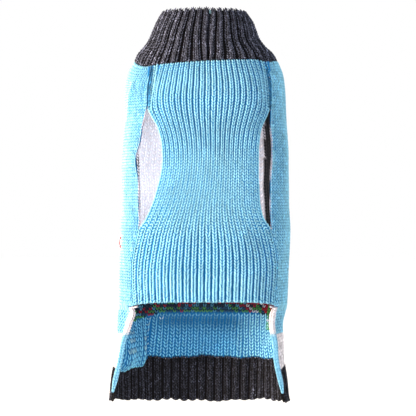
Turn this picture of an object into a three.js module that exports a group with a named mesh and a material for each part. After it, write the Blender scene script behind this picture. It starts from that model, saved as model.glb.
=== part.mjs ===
// A knitted dog sweater, filled out as it is when a small dog wears it, neck up and belly to the front (-Y).
// Millimetres, +Z up towards the neck. The origin is the middle of the neck seam, where collar and body meet.
// The pieces are what a knitwear maker links together: collar, belly panel, back panel that wraps the sides,
// tail hem, and the rolled knit edges that finish the open sides of the tail.
import * as THREE from "three";

// Driving dimensions
const BACK_LENGTH = 312; // neck seam to tail hem, along the back
const BELLY_LENGTH = 248.5; // neck seam to the lower corners of the belly panel
const BELLY_ARCH = 4.3; // how much higher the middle of its cast-off edge sits
const COLLAR_HEIGHT = 51;
const HEM_SIDE_DROP = 350; // neck seam down to the hem's front corners
const HEM_BACK_DROP = 359; // the same in the middle of the back, where the tail hangs lowest
const HEM_SEAM_DROP = 7; // how much lower the hem's seam runs at its two ends than in the middle
const SEAM_GAP = 0.3;

// Knit: wall thickness between ribs, and how far a rib stands over it
const JERSEY_WALL = 2.4;
const RIB_WALL = 1.9;
const COLLAR_WALL = 2.3;
const BELLY_RIBS = 22;
const COLLAR_RIBS = 38;
const HEM_RIBS = 28;
const COLLAR_RIB_HEIGHT = 1.5;
const HEM_RIB_HEIGHT = 1.7;

// Cross sections of the body: half width, depth of the belly side and of the back side from the middle plane,
// sideways lean of the section, and the power of its super-ellipse (2 is an ellipse, more is boxier)
const BODY_SECTIONS = [
  { z: 0, half: 74, belly: 51, back: 50, lean: 1.5, power: 2.15 },
  { z: -12, half: 80, belly: 56, back: 54, lean: 0.5, power: 2.2 },
  { z: -27, half: 82.5, belly: 60, back: 57, lean: 0.3, power: 2.3 },
  { z: -60, half: 83.5, belly: 65, back: 60, lean: 0.8, power: 2.4 },
  { z: -100, half: 86.2, belly: 67, back: 62, lean: 0.4, power: 2.45 },
  { z: -143, half: 86, belly: 66, back: 63, lean: 1, power: 2.45 },
  { z: -176, half: 87.8, belly: 63, back: 63, lean: 0.5, power: 2.5 },
  { z: -217, half: 87, belly: 60, back: 63, lean: -0.5, power: 2.55 },
  { z: -250, half: 86.4, belly: 58, back: 62, lean: -1.2, power: 2.6 },
  { z: -268, half: 86.2, belly: 57, back: 61, lean: -4.2, power: 2.6 },
  { z: -290, half: 89, belly: 56, back: 60, lean: -5.4, power: 2.6 },
  { z: -312, half: 90.5, belly: 56, back: 60, lean: -6.2, power: 2.6 },
  { z: -334, half: 94, belly: 58, back: 62, lean: -5.6, power: 2.5 },
  { z: -360, half: 96.6, belly: 61, back: 65, lean: -4.8, power: 2.4 },
];

// The collar narrows from the shoulders to the neck
const COLLAR_SECTIONS = [
  { z: 0, half: 77.5, belly: 52, back: 50.5, lean: 1.5, power: 2.15 },
  { z: 8, half: 69.3, belly: 48, back: 47, lean: 0.9, power: 2.1 },
  { z: 16, half: 61.8, belly: 45, back: 44.5, lean: 0, power: 2.1 },
  { z: 24, half: 56.8, belly: 42.5, back: 42, lean: -0.5, power: 2.1 },
  { z: 33, half: 53.2, belly: 40, back: 40, lean: -0.3, power: 2.1 },
  { z: 42, half: 49, belly: 37.5, back: 38, lean: 0, power: 2.1 },
  { z: 54, half: 41, belly: 34.5, back: 35.5, lean: -0.5, power: 2.1 },
];

// Edges of the back panel on the belly side, as distances from the middle line. The belly panel meets them, but
// for the two openings for the front legs, where it stands off by the open widths given beside them.
const PANEL_EDGES = [
  { z: 0, left: -53.5, openLeft: 0, openRight: 0, right: 62.5 },
  { z: -25, left: -57, openLeft: 0, openRight: 0, right: 68 },
  { z: -50, left: -58, openLeft: 0, openRight: 0, right: 67.5 },
  { z: -58, left: -60, openLeft: 5.5, openRight: 3, right: 67 },
  { z: -69, left: -62.5, openLeft: 14.5, openRight: 8.3, right: 66.8 },
  { z: -84, left: -64.5, openLeft: 21, openRight: 12.7, right: 68.2 },
  { z: -103, left: -69.5, openLeft: 27.5, openRight: 13.7, right: 68.2 },
  { z: -127, left: -66.5, openLeft: 20.5, openRight: 11.7, right: 66.5 },
  { z: -148, left: -66.5, openLeft: 14, openRight: 10.3, right: 66.5 },
  { z: -163, left: -65.5, openLeft: 6, openRight: 6.5, right: 67 },
  { z: -174, left: -67, openLeft: 0, openRight: 0, right: 68 },
  { z: -190, left: -71, openLeft: 0, openRight: 0, right: 72 },
  { z: -212, left: -74, openLeft: 0, openRight: 0, right: 74 },
  { z: -245, left: -73, openLeft: 0, openRight: 0, right: 71.5 },
];

// Below the belly panel the back panel is open in front. Its free edges fall back towards the sides, given as
// shares of the way round from the middle of the belly (0) to the middle of the back (0.5).
const TAIL_EDGES = [
  { z: -250, left: 0.178, right: 0.178 },
  { z: -268, left: 0.2, right: 0.2 },
  { z: -290, left: 0.226, right: 0.22 },
  { z: -312, left: 0.238, right: 0.226 },
  { z: -334, left: 0.246, right: 0.238 },
  { z: -360, left: 0.25, right: 0.246 },
];

// Ribs stand high at neck and hem, and close up at the waist of the belly panel
const RIB_RELIEF = [
  { z: 0, height: 1.5 },
  { z: -60, height: 1.3 },
  { z: -103, height: 0.5 },
  { z: -140, height: 0.7 },
  { z: -180, height: 1.4 },
  { z: -250, height: 1.6 },
];

// Soft folds of the cloth: place across the back panel (0 right edge, 1 left edge), height at which the fold is
// deepest, its spread sideways, above and below, and how far it stands out (or in, below 0)
const FOLDS = [
  { across: 0.055, z: -105, width: 0.03, above: 34, below: 34, depth: 2.6 },
  { across: 0.95, z: -100, width: 0.03, above: 30, below: 30, depth: -2.8 },
  { across: 0.94, z: -232, width: 0.04, above: 26, below: 26, depth: 1.8 },
  { across: 0.63, z: -190, width: 0.08, above: 60, below: 60, depth: -1.8 },
  { across: 0.4, z: -40, width: 0.07, above: 40, below: 40, depth: -2 },
  { across: 0.14, z: -290, width: 0.05, above: 30, below: 26, depth: -3.4 },
  { across: 0.27, z: -318, width: 0.05, above: 40, below: 60, depth: 3.2 },
  { across: 0.5, z: -330, width: 0.09, above: 40, below: 60, depth: -2.4 },
  { across: 0.72, z: -322, width: 0.04, above: 44, below: 60, depth: 4 },
  { across: 0.86, z: -313, width: 0.06, above: 26, below: 9, depth: -7 },
];

// A smooth value from a table, by height, that never overshoots the rows on either side
function valueAt(table, z, column) {
  const sign = table[0].z > table[table.length - 1].z ? -1 : 1;
  let i = 0;
  while (i < table.length - 2 && sign * table[i + 1].z < sign * z) i++;
  const rise = (k) => (table[k + 1][column] - table[k][column]) / (table[k + 1].z - table[k].z);
  const slopeAt = (k) => {
    if (k === 0) return rise(0);
    if (k === table.length - 1) return rise(k - 1);
    const [above, below] = [rise(k - 1), rise(k)];
    if (above * below <= 0) return 0;
    const steepest = 3 * Math.min(Math.abs(above), Math.abs(below));
    return THREE.MathUtils.clamp((above + below) / 2, -steepest, steepest);
  };
  const span = table[i + 1].z - table[i].z;
  const t = THREE.MathUtils.clamp((z - table[i].z) / span, 0, 1);
  const t2 = t * t;
  const t3 = t2 * t;
  return (2 * t3 - 3 * t2 + 1) * table[i][column] + (t3 - 2 * t2 + t) * span * slopeAt(i)
    + (3 * t2 - 2 * t3) * table[i + 1][column] + (t3 - t2) * span * slopeAt(i + 1);
}

// One cross section as points with the share of the way round that each stands at, from the middle of the
// belly (0) over the right side (0.25) to the back (0.5) and the left side (0.75)
const SECTION_STEPS = 240;
const sectionCache = new Map();
function sectionAt(sections, z) {
  const key = `${sections === COLLAR_SECTIONS ? "collar" : "body"} ${z.toFixed(3)}`;
  if (sectionCache.has(key)) return sectionCache.get(key);
  const [half, belly, back, lean, power] = ["half", "belly", "back", "lean", "power"]
    .map((column) => valueAt(sections, z, column));
  const points = [];
  for (let i = 0; i <= SECTION_STEPS; i++) {
    const turn = (i / SECTION_STEPS) * 2 * Math.PI;
    const across = Math.sign(Math.sin(turn)) * Math.abs(Math.sin(turn)) ** (2 / power);
    const deep = Math.sign(Math.cos(turn)) * Math.abs(Math.cos(turn)) ** (2 / power);
    points.push({ x: lean + half * across, y: -(deep > 0 ? belly : back) * deep, length: 0 });
  }
  for (let i = 1; i <= SECTION_STEPS; i++) {
    const step = Math.hypot(points[i].x - points[i - 1].x, points[i].y - points[i - 1].y);
    points[i].length = points[i - 1].length + step;
  }
  sectionCache.set(key, points);
  return points;
}

function pointOnSection(sections, z, share) {
  const points = sectionAt(sections, z);
  const wanted = (share - Math.floor(share)) * points[SECTION_STEPS].length;
  let low = 0;
  let high = SECTION_STEPS;
  while (high - low > 1) {
    const middle = (low + high) >> 1;
    if (points[middle].length <= wanted) low = middle;
    else high = middle;
  }
  const t = (wanted - points[low].length) / (points[high].length - points[low].length);
  return new THREE.Vector3(
    THREE.MathUtils.lerp(points[low].x, points[high].x, t),
    THREE.MathUtils.lerp(points[low].y, points[high].y, t),
    z,
  );
}

// The share of the way round at which the belly side of a section reaches a distance from the middle line
function shareAtX(z, x) {
  const points = sectionAt(BODY_SECTIONS, z);
  const total = points[SECTION_STEPS].length;
  const quarter = SECTION_STEPS / 4;
  for (let i = 0; i < quarter; i++) {
    const near = x > 0 ? points[i] : points[SECTION_STEPS - i];
    const far = x > 0 ? points[i + 1] : points[SECTION_STEPS - i - 1];
    if (Math.abs(far.x) >= Math.abs(x)) {
      const t = (x - near.x) / (far.x - near.x);
      return THREE.MathUtils.lerp(near.length, far.length, t) / total - (x > 0 ? 0 : 1);
    }
  }
  return x > 0 ? 0.25 : -0.25;
}

function roundLength(z) {
  return sectionAt(BODY_SECTIONS, z)[SECTION_STEPS].length;
}

// Where the back panel ends on each side at a height, as shares of the way round
function backEdges(z) {
  const gap = SEAM_GAP / 2 / roundLength(z);
  if (z < TAIL_EDGES[0].z) {
    return { right: valueAt(TAIL_EDGES, z, "right"), left: 1 - valueAt(TAIL_EDGES, z, "left") };
  }
  const seam = Math.max(z, PANEL_EDGES[PANEL_EDGES.length - 1].z);
  const right = shareAtX(z, valueAt(PANEL_EDGES, seam, "right"));
  const left = shareAtX(z, valueAt(PANEL_EDGES, seam, "left"));
  return { right: right + gap, left: 1 + left - gap };
}

// Folds push the back panel in or out by soft round hills
function foldDepth(across, z) {
  return FOLDS.reduce((sum, fold) => {
    const side = (across - fold.across) / fold.width;
    const up = (z - fold.z) / (z > fold.z ? fold.above : fold.below);
    return sum + fold.depth * Math.exp(-(side * side + up * up));
  }, 0);
}

// Towards the hem the rows of the back panel run lower at the sides than in the middle
function tailDrop(u, level) {
  return HEM_SEAM_DROP * (2 * u - 1) ** 4 * THREE.MathUtils.smoothstep(-level, 262, BACK_LENGTH);
}

// Surfaces: a point for a share across (u) and a share down (v)
function bellySurface(u, v) {
  const arch = BELLY_ARCH * (1 - (2 * u - 1) ** 4) * THREE.MathUtils.smoothstep(v, 0.85, 1);
  const z = -BELLY_LENGTH * v + arch;
  const seam = Math.max(z, PANEL_EDGES[PANEL_EDGES.length - 1].z);
  const gap = SEAM_GAP / 2 / roundLength(z);
  const edge = (column) => valueAt(PANEL_EDGES, seam, column);
  const left = shareAtX(z, edge("left") + edge("openLeft")) + gap;
  const right = shareAtX(z, edge("right") - edge("openRight")) - gap;
  return pointOnSection(BODY_SECTIONS, z, THREE.MathUtils.lerp(left, right, u));
}

function tailSurface(u, level) {
  const z = level - tailDrop(u, level);
  const { left, right } = backEdges(z);
  const point = pointOnSection(BODY_SECTIONS, z, THREE.MathUtils.lerp(right, left, u));
  const outward = new THREE.Vector3(point.x, point.y * 1.6, 0).normalize();
  const edgeHold = Math.min(1, 12 * Math.min(u, 1 - u));
  return point.addScaledVector(outward, edgeHold * foldDepth(u, z));
}

const backSurface = (u, v) => tailSurface(u, -BACK_LENGTH * v);

function hemSurface(u, v) {
  const middle = 1 - (2 * u - 1) ** 2;
  const bottom = -THREE.MathUtils.lerp(HEM_SIDE_DROP, HEM_BACK_DROP, middle);
  return tailSurface(u, THREE.MathUtils.lerp(-BACK_LENGTH - SEAM_GAP, bottom + tailDrop(u, bottom), v));
}

function collarSurface(u, v) {
  const z = THREE.MathUtils.lerp(COLLAR_HEIGHT, SEAM_GAP, v);
  return pointOnSection(COLLAR_SECTIONS, z, u);
}

// The outward normal of a surface whose u runs anticlockwise seen from above, by small steps
function outwardNormal(surface, u, v, ring) {
  const step = 0.004;
  const left = ring ? surface(u - step, v) : surface(Math.max(u - step, 0), v);
  const right = ring ? surface(u + step, v) : surface(Math.min(u + step, 1), v);
  const above = surface(u, Math.max(v - step, 0));
  const below = surface(u, Math.min(v + step, 1));
  return below.sub(above).cross(right.sub(left)).normalize();
}

// A wall of cloth: outer points on the surface, or under it in the grooves between ribs, and plain inner points
// one thickness in. rows lists the shares down at which the points lie.
function wallGeometry({ surface, columns, rows, thickness, groove, ring }) {
  const across = ring ? columns : columns + 1;
  const positions = [];
  for (const inner of [false, true]) {
    for (const v of rows) {
      const level = v === rows[0] || v === rows[rows.length - 1];
      for (let i = 0; i < across; i++) {
        const u = i / columns;
        const point = surface(u, v);
        const normal = outwardNormal(surface, u, v, ring);
        if (level) normal.setZ(0).normalize(); // pieces end level, so that they clear each other at a seam
        const depth = inner ? thickness + groove(0, v) : groove(i, v);
        positions.push(...point.addScaledVector(normal, -depth).toArray());
      }
    }
  }
  const layer = across * rows.length;
  const faces = [];
  const quad = (a, b, c, d) => faces.push(a, b, c, a, c, d);
  const at = (inner, row, column) => inner * layer + row * across + (column % across);
  for (let row = 0; row < rows.length - 1; row++) {
    for (let i = 0; i < columns; i++) {
      quad(at(0, row, i), at(0, row + 1, i), at(0, row + 1, i + 1), at(0, row, i + 1));
      quad(at(1, row, i), at(1, row, i + 1), at(1, row + 1, i + 1), at(1, row + 1, i));
    }
  }
  const last = rows.length - 1;
  for (let i = 0; i < columns; i++) {
    quad(at(0, 0, i), at(0, 0, i + 1), at(1, 0, i + 1), at(1, 0, i));
    quad(at(0, last, i), at(1, last, i), at(1, last, i + 1), at(0, last, i + 1));
  }
  if (!ring) {
    for (let row = 0; row < last; row++) {
      quad(at(0, row, 0), at(1, row, 0), at(1, row + 1, 0), at(0, row + 1, 0));
      quad(at(0, row, columns), at(0, row + 1, columns), at(1, row + 1, columns), at(1, row, columns));
    }
  }
  const geometry = new THREE.BufferGeometry();
  geometry.setAttribute("position", new THREE.Float32BufferAttribute(positions, 3));
  geometry.setIndex(faces);
  geometry.computeVertexNormals();
  return geometry;
}

// Both panels have their rows at the same heights, so that their side seams run alongside each other
const SEAM_LEVELS = [
  -SEAM_GAP, -12, -25, -38, -50, -58, -69, -80, -91, -103, -115, -127, -138, -148, -156, -163, -174, -190, -205,
  -220, -234, -BELLY_LENGTH,
];
const TAIL_LEVELS = [-259, -270, -281, -291, -302, -BACK_LENGTH];
const rowsAt = (levels, length) => levels.map((z) => -z / length);

// Shares down for evenly spaced rows
const evenRows = (count) => Array.from({ length: count + 1 }, (_, i) => i / count);

function knitPiece(name, geometry, color, roughness) {
  const mesh = new THREE.Mesh(geometry, new THREE.MeshStandardMaterial({ color, roughness, metalness: 0 }));
  mesh.name = name;
  return mesh;
}

// Collar: a charcoal rib tube
const collarRows = 8;
const collar = knitPiece("collar", wallGeometry({
  surface: collarSurface,
  columns: COLLAR_RIBS * 2,
  rows: evenRows(collarRows),
  thickness: COLLAR_WALL,
  groove: (i) => (i % 2 === 0 ? COLLAR_RIB_HEIGHT : 0),
  ring: true,
}), 0x4a4b55, 0.95);

// Belly panel: light blue rib, narrowed at the waist for the front legs
const bellyPanel = knitPiece("belly_panel", wallGeometry({
  surface: bellySurface,
  columns: BELLY_RIBS * 2,
  rows: rowsAt(SEAM_LEVELS, BELLY_LENGTH),
  thickness: RIB_WALL,
  groove: (i, v) => (i % 2 === 0 ? valueAt(RIB_RELIEF, -v * BELLY_LENGTH, "height") : 0),
  ring: false,
}), 0x7ec8ea, 0.95);

// Back panel: plain knit that wraps from seam to seam round the back
const backColumns = 48;
const backPanel = knitPiece("back_panel", wallGeometry({
  surface: backSurface,
  columns: backColumns,
  rows: rowsAt([...SEAM_LEVELS, ...TAIL_LEVELS], BACK_LENGTH),
  thickness: JERSEY_WALL,
  groove: () => 0,
  ring: false,
}), 0x7ec8ea, 0.95);

// Tail hem: charcoal rib along the lower edge of the back panel
const hemRows = 4;
const tailHem = knitPiece("tail_hem", wallGeometry({
  surface: hemSurface,
  columns: HEM_RIBS * 2,
  rows: evenRows(hemRows),
  thickness: RIB_WALL,
  groove: (i) => (i % 2 === 0 ? HEM_RIB_HEIGHT : 0),
  ring: false,
}), 0x3f4049, 0.95);

// Rolled knit edge: a soft flat cord of knit that lies in front of each free edge of the tail
const EDGE_LEVELS = [-250, ...TAIL_LEVELS, -321.7, -329, -334];
const EDGE_HALF_WIDTH = 3.2;
const EDGE_HALF_THICKNESS = 2;
const edgeSides = 8;

function tailEdgeGeometry(side) {
  const positions = [];
  const edgeRows = EDGE_LEVELS.length - 1;
  for (const z of EDGE_LEVELS) {
    const t = THREE.MathUtils.inverseLerp(EDGE_LEVELS[0], EDGE_LEVELS[edgeRows], z);
    const taper = Math.min(1, 0.45 + 2.6 * t, 0.4 + 3.2 * (1 - t));
    const edge = side > 0 ? 0 : 1;
    const rim = tailSurface(edge, z);
    const inward = tailSurface(edge + side * 0.01, z);
    const along = rim.clone().sub(inward).setZ(0).normalize();
    const out = outwardNormal((u, v) => tailSurface(u, z - 4 * (v - 0.5)), edge, 0.5, false);
    out.setZ(0).normalize();
    const centre = rim.addScaledVector(along, EDGE_HALF_WIDTH + 1.5 * SEAM_GAP)
      .addScaledVector(out, -EDGE_HALF_THICKNESS * 0.7);
    for (let i = 0; i < edgeSides; i++) {
      const turn = (i / edgeSides) * 2 * Math.PI;
      const point = centre.clone()
        .addScaledVector(along, taper * EDGE_HALF_WIDTH * Math.cos(turn))
        .addScaledVector(out, taper * EDGE_HALF_THICKNESS * Math.sin(turn));
      positions.push(...point.toArray());
    }
  }
  const faces = [];
  for (let row = 0; row < edgeRows; row++) {
    for (let i = 0; i < edgeSides; i++) {
      const next = (i + 1) % edgeSides;
      const [a, b] = [row * edgeSides + i, row * edgeSides + next];
      faces.push(a, a + edgeSides, b, b, a + edgeSides, b + edgeSides);
    }
  }
  const lastRow = edgeRows * edgeSides;
  for (let i = 1; i < edgeSides - 1; i++) {
    faces.push(0, i, i + 1, lastRow, lastRow + i + 1, lastRow + i);
  }
  if (side < 0) faces.reverse();
  const geometry = new THREE.BufferGeometry();
  geometry.setAttribute("position", new THREE.Float32BufferAttribute(positions, 3));
  geometry.setIndex(faces);
  geometry.computeVertexNormals();
  return geometry;
}

const rightTailEdge = knitPiece("right_tail_edge", tailEdgeGeometry(1), 0x86cdec, 0.95);
const leftTailEdge = knitPiece("left_tail_edge", tailEdgeGeometry(-1), 0x86cdec, 0.95);

const sweater = new THREE.Group();
sweater.name = "dog_sweater";
sweater.add(collar, bellyPanel, backPanel, tailHem, leftTailEdge, rightTailEdge);

export default sweater;
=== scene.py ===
# A knitted dog sweater, filled out and standing neck up. Each panel is a wall of cloth with its stitches
# laid on it, two legs of yarn to a stitch, in the places where a knitting machine makes them.
import bmesh
import bpy
import numpy as np
from collections import namedtuple
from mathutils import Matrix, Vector


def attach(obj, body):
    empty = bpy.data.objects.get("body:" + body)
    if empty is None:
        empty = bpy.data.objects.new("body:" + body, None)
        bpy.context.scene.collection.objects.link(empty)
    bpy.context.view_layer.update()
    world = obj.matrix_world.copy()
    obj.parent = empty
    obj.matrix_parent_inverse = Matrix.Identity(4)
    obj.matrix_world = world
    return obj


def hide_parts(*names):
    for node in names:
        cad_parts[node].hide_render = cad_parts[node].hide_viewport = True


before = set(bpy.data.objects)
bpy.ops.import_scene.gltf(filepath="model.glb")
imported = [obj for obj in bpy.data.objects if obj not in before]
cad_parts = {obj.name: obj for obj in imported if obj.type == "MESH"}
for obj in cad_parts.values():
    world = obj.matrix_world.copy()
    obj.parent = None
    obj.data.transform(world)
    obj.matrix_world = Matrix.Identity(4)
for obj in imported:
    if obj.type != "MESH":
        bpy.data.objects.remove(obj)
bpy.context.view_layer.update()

# Belly panel
# A light blue 1x1 rib, one column of stitches to a rib, cast off straight below and narrowed for the front
# legs. Its ribs stand open at chest and belly and close up at the waist. All lengths are in millimetres,
# and turn into metres in each mesh.
MM = 0.001
BELLY_LENGTH = 248.5
BELLY_ARCH = 4.3
BELLY_RIBS = 22
BELLY_WALL = 1.3
COURSE = 2.9
SEAM_GAP = 0.3
GIRTH = 490

# The body's cross sections, top down: height, half width, depth of the belly, depth of the back, lean to
# the side, and power of the super-ellipse
BODY_SECTIONS = [
    (0, 74, 51, 50, 1.5, 2.15),
    (-12, 80, 56, 54, 0.5, 2.2),
    (-27, 82.5, 60, 57, 0.3, 2.3),
    (-60, 83.5, 65, 60, 0.8, 2.4),
    (-100, 86.2, 67, 62, 0.4, 2.45),
    (-143, 86, 66, 63, 1, 2.45),
    (-176, 87.8, 63, 63, 0.5, 2.5),
    (-217, 87, 60, 63, -0.5, 2.55),
    (-250, 86.4, 58, 62, -1.2, 2.6),
    (-268, 86.2, 57, 61, -4.2, 2.6),
    (-290, 89, 56, 60, -5.4, 2.6),
    (-312, 90.5, 56, 60, -6.2, 2.6),
    (-334, 94, 58, 62, -5.6, 2.5),
    (-360, 96.6, 61, 65, -4.8, 2.4),
]

# The back panel's edges beside the belly, from the middle line, and how far the belly panel stands off from
# them round the leg openings: height, left edge, opening on the left, opening on the right, right edge
PANEL_EDGES = [
    (0, -53.5, 0, 0, 62.5),
    (-25, -57, 0, 0, 68),
    (-50, -58, 0, 0, 67.5),
    (-58, -60, 5.5, 3, 67),
    (-69, -62.5, 14.5, 8.3, 66.8),
    (-84, -64.5, 21, 12.7, 68.2),
    (-103, -69.5, 27.5, 13.7, 68.2),
    (-127, -66.5, 20.5, 11.7, 66.5),
    (-148, -66.5, 14, 10.3, 66.5),
    (-163, -65.5, 6, 6.5, 67),
    (-174, -67, 0, 0, 68),
    (-190, -71, 0, 0, 72),
    (-212, -74, 0, 0, 74),
    (-245, -73, 0, 0, 71.5),
]

# Height and how deep the grooves between the belly's ribs are there, in the middle and at the sides
RIB_RELIEF = [(0, 1.9, 1.6), (-50, 2, 1.7), (-85, 1.6, 0.5), (-120, 1.1, 0.1), (-150, 1.3, 0.3),
              (-185, 2, 1.6), (-250, 2, 2)]

# Soft folds: from and to, as millimetres across and height, half width, and how far each stands out. A
# minus is a trough.
BELLY_FOLDS = [
    (-52, -4, -56, -50, 4, -2.8),
    (64, -6, 65, -52, 5, -3),
    (-30, -50, -12, -96, 14, 1),
    (34, -60, 22, -118, 12, -0.9),
    (-40, -176, -60, -204, 10, -1.2),
    (44, -170, 66, -196, 9, -1.4),
    (8, -150, -14, -186, 16, 0.9),
]


def curve_through(rows, column=1):
    """A curve over height through a table's rows, which never overshoots them."""
    table = np.array(sorted(rows), float)
    stations, values = table[:, 0], table[:, column]
    rise = np.diff(values) / np.diff(stations)
    limit = 3 * np.minimum(np.abs(rise[:-1]), np.abs(rise[1:]))
    middle = np.clip((rise[:-1] + rise[1:]) / 2, -limit, limit)
    slope = np.concatenate(([rise[0]], np.where(rise[:-1] * rise[1:] > 0, middle, 0), [rise[-1]]))

    def value(height):
        i = np.clip(np.searchsorted(stations, height, side="right") - 1, 0, len(stations) - 2)
        span = stations[i + 1] - stations[i]
        t = np.clip((height - stations[i]) / span, 0, 1)
        low = (2 * t**3 - 3 * t**2 + 1) * values[i] + (t**3 - 2 * t**2 + t) * span * slope[i]
        return low + (3 * t**2 - 2 * t**3) * values[i + 1] + (t**3 - t**2) * span * slope[i + 1]

    return value


def smooth_step(x, low, high):
    t = np.clip((x - low) / (high - low), 0, 1)
    return t * t * (3 - 2 * t)


def soft_folds(folds, across, height):
    """How far soft folds lift the cloth at a place, with each fold fading towards its two ends."""
    lift = np.zeros_like(height)
    for x, z, to_x, to_z, spread, stand in folds:
        run, fall = to_x - x, to_z - z
        along = np.clip(((across - x) * run + (height - z) * fall) / (run**2 + fall**2), 0, 1)
        away = np.hypot(across - x - along * run, height - z - along * fall)
        lift += stand * np.exp(-((away / spread) ** 2)) * (0.4 + 0.6 * np.sin(np.pi * along))
    return lift


# Steps round a cross section, and how many of them the belly side takes from its middle
AROUND = 720
BELLY_SIDE = 160


def section_form(sections, low, high):
    """A tube through cross sections. Returns its heights, x by height and share of the way round, and a
    function from share and height to points. Share runs from the belly (0) over the right (0.25) to the
    back (0.5)."""
    heights = np.arange(low, high + 1.0)
    half, belly, back, lean, power = (curve_through(sections, k)(heights)[:, None] for k in range(1, 6))
    turn = np.linspace(0, 2 * np.pi, AROUND + 1)
    across = np.sign(np.sin(turn)) * np.abs(np.sin(turn)) ** (2 / power)
    deep = np.sign(np.cos(turn)) * np.abs(np.cos(turn)) ** (2 / power)
    x = lean + half * across
    y = -np.where(deep > 0, belly, back) * deep
    steps = np.hypot(np.diff(x, axis=1), np.diff(y, axis=1))
    walked = np.concatenate((np.zeros((len(heights), 1)), np.cumsum(steps, axis=1)), axis=1)
    shares = np.linspace(0, 1, AROUND + 1)
    even_x = np.array([np.interp(shares * w[-1], w, row) for w, row in zip(walked, x)])
    even_y = np.array([np.interp(shares * w[-1], w, row) for w, row in zip(walked, y)])

    def point(share, height):
        s = (share % 1) * AROUND
        h = np.clip(height - low, 0, len(heights) - 1.001)
        i = np.minimum(s.astype(int), AROUND - 1)
        j = h.astype(int)
        s, h = s - i, h - j
        xy = []
        for grid in (even_x, even_y):
            lower = grid[j, i] * (1 - s) + grid[j, i + 1] * s
            upper = grid[j + 1, i] * (1 - s) + grid[j + 1, i + 1] * s
            xy.append(lower * (1 - h) + upper * h)
        return np.stack((*xy, height), axis=-1)

    return heights, even_x, point


body_heights, body_x, body_point = section_form(BODY_SECTIONS, -366, 0)

# The neck seam hangs about 4 mm lower in front, more on the left than on the right, and dips further where
# the side seams meet it: place across, half width and depth
NECK_DROP = 4
NECK_TILT = 0.05
NECK_DIPS = [(-58, 8, 0.6), (65, 7, 2.4)]


def neck_dip(point):
    across, front = point[..., 0], smooth_step(-point[..., 1], 0, 34)
    dips = sum(depth * np.exp(-(((across - place) / half) ** 2)) for place, half, depth in NECK_DIPS)
    return front * (NECK_DROP - NECK_TILT * across + dips)


def share_at_x(distance):
    """The share of the way round, by height, at which the belly side reaches a distance from the middle
    line."""
    shares = np.linspace(0, 1, AROUND + 1)[:BELLY_SIDE]
    found = []
    for x, row in zip(distance, body_x):
        side = row[:BELLY_SIDE] if x > 0 else -row[::-1][:BELLY_SIDE]
        found.append(np.sign(x) * np.interp(abs(x), side, shares))
    return np.array(found)


seam_heights = np.maximum(body_heights, PANEL_EDGES[-1][0])
left_x, left_open, right_open, right_x = (curve_through(PANEL_EDGES, k)(seam_heights) for k in range(1, 5))
side_left, side_right = share_at_x(left_x), share_at_x(right_x)
belly_left, belly_right = share_at_x(left_x + left_open), share_at_x(right_x - right_open)
relief_middle, relief_side = curve_through(RIB_RELIEF, 1), curve_through(RIB_RELIEF, 2)


def eased(edge):
    """A panel's edge with its bends rounded off, for the ribs away from it."""
    weight = np.exp(-((np.arange(-36, 37) / 15) ** 2))
    return np.convolve(np.pad(edge, 36, mode="edge"), weight / weight.sum(), mode="valid")


def belly_place(u, v):
    """A point of the belly panel, for the shares across it and down it."""
    z = -BELLY_LENGTH * v + BELLY_ARCH * (1 - (2 * u - 1) ** 4) * smooth_step(v, 0.85, 1)
    near_edge = (2 * u - 1) ** 6
    # at the neck the ribs are drawn together, away from the side seams
    from_edge = np.minimum(u, 1 - u)
    drawn = 0.075 * (0.5 - from_edge) * (1 - np.exp(-((from_edge / 0.03) ** 2))) * smooth_step(z, -46, -4)
    u = u + np.where(u < 0.5, drawn, -drawn)
    left, right = (
        np.interp(z, body_heights, edge) * near_edge
        + np.interp(z, body_heights, eased(edge)) * (1 - near_edge)
        for edge in (belly_left, belly_right))
    point = body_point(left + (right - left) * u, z)
    outward = point * (1, 1, 0)
    outward /= np.linalg.norm(outward, axis=-1, keepdims=True)
    point = point + outward * soft_folds(BELLY_FOLDS, point[..., 0], z)[..., None]
    point[..., 2] -= neck_dip(point) * smooth_step(z, -45, 0)
    return point


def groove_depth(u, v):
    side = np.abs(2 * u - 1) ** 1.5
    z = -BELLY_LENGTH * v
    return relief_middle(z) * (1 - side) + relief_side(z) * side


# Places on a surface with the directions across it, down it and out of it, and millimetres to a share
# across
Lay = namedtuple("Lay", "point across down out stretch")


def lay_of(place, u, v):
    small = 0.003
    across = (place(u + small, v) - place(u - small, v)) / (2 * small)
    down = place(u, v + small) - place(u, v - small)
    down /= np.linalg.norm(down, axis=-1, keepdims=True)
    out = np.cross(down, across)
    out /= np.linalg.norm(out, axis=-1, keepdims=True)
    return Lay(place(u, v), np.cross(out, down), down, out, np.linalg.norm(across, axis=-1))


def lifted(lay, out, across=0):
    """The lay moved out of the cloth, and across it, by millimetres."""
    shift = lay.out * np.reshape(out, (-1, 1)) + lay.across * np.reshape(across, (-1, 1))
    return lay._replace(point=lay.point + shift)


def other_face(lay, thickness):
    """The lay of the inner face of a cloth of that thickness."""
    return lay._replace(point=lay.point - lay.out * thickness, across=-lay.across, out=-lay.out)


def painted_gap_shade(colour):
    """Painted shade: the deeper tone of yarn down in a gap, which is lit only by light off yarn of its own
    colour.
    """
    return 0.7 * colour**1.5


def add_attribute(mesh, name, colours):
    layer = mesh.color_attributes.new(name=name, type="FLOAT_COLOR", domain="POINT")
    rgba = np.concatenate((colours, np.ones((len(colours), 1))), axis=1)
    layer.data.foreach_set("color", rgba.astype(np.float32).ravel())


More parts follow.
